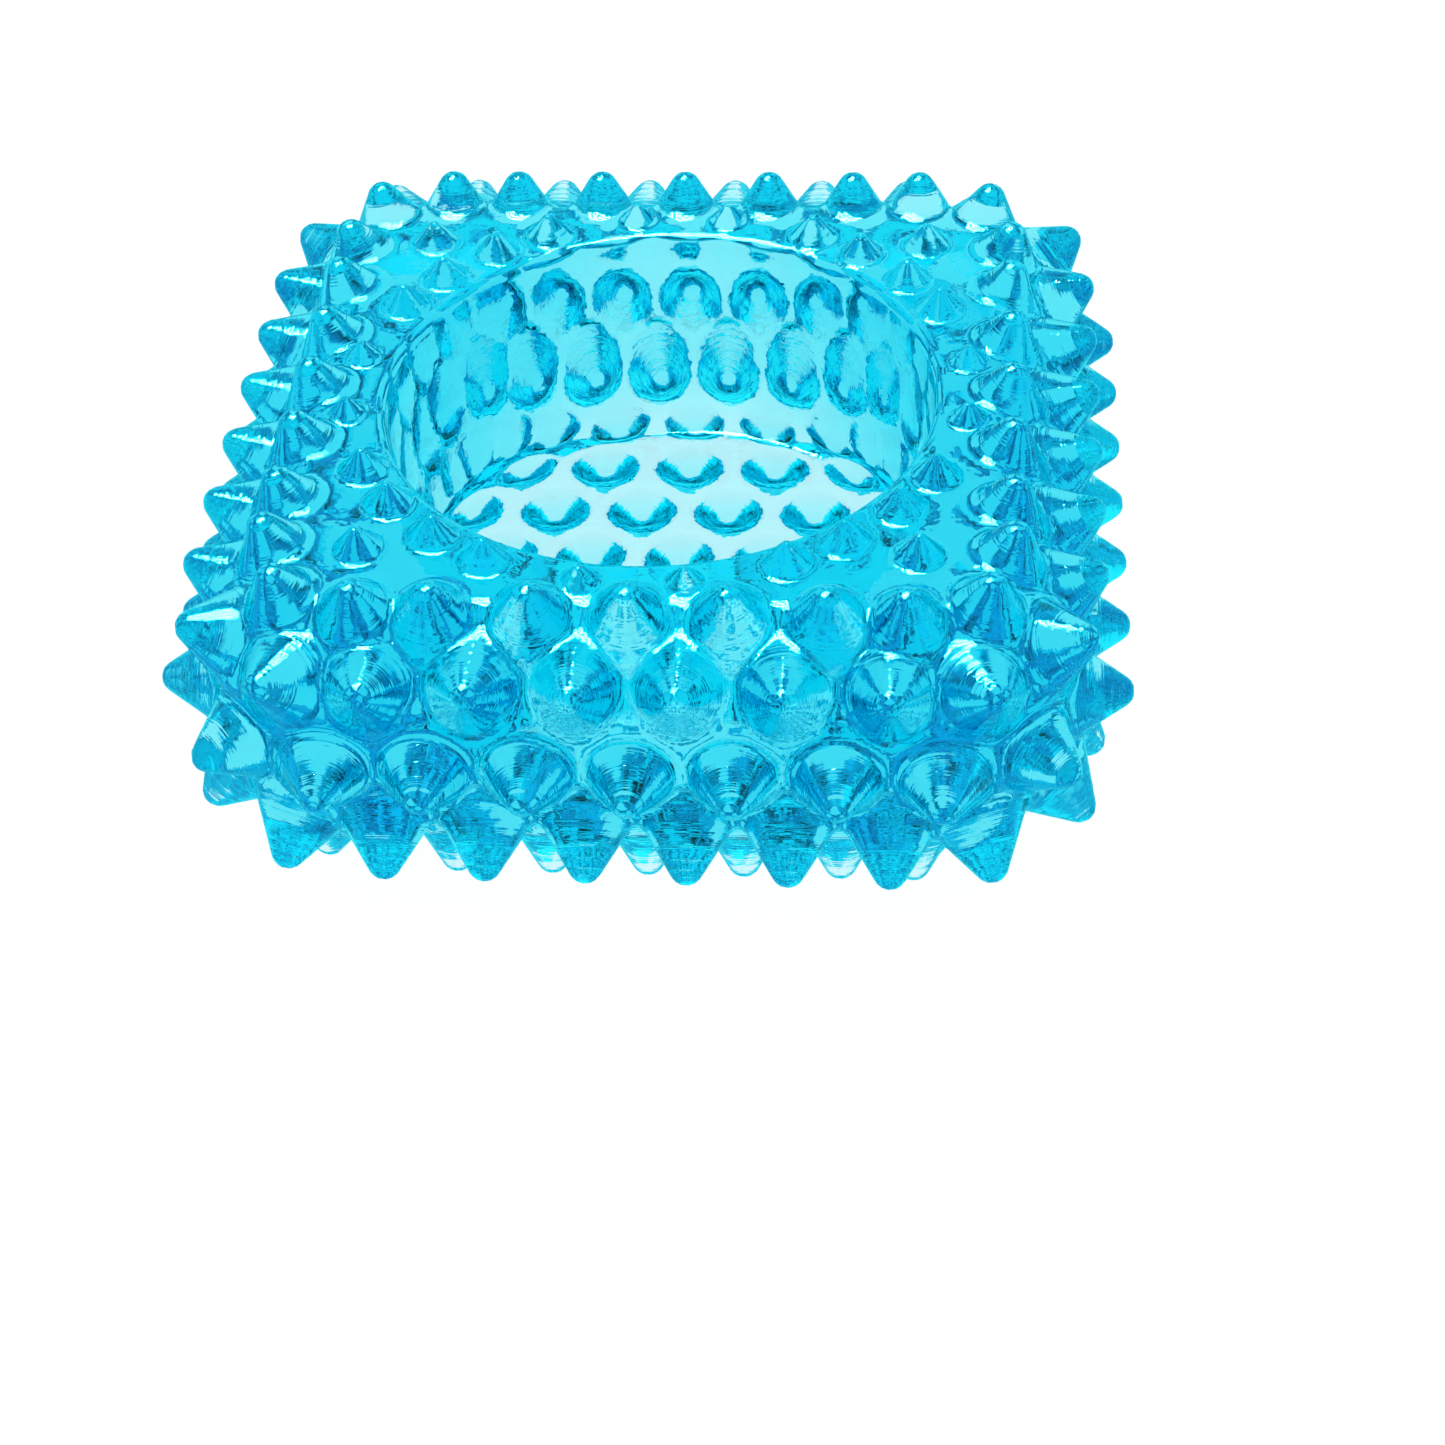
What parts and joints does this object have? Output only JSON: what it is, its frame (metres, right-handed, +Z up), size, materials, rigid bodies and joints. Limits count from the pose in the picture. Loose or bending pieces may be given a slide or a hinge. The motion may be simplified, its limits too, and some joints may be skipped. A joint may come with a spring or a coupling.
{
  "type": "tealight holder",
  "caption": "Square pressed-glass hobnail tealight holder: a round candle well in a block with bevelled edges, covered on all sides in staggered rows of pointed cones.",
  "frame": {"origin": "on the resting plane, under the centre of the round well", "axes": "+Z up, along the axis of the well, pointing out of its mouth; +X and +Y square to two neighbouring sides"},
  "size_m": [0.073, 0.073, 0.0291],
  "materials": {
    "aqua_glass": "transparent aqua blue, fire-polished gloss"
  },
  "bodies": {
    "root": {"glass_holder": "aqua_glass"}
  },
  "joints": []
}
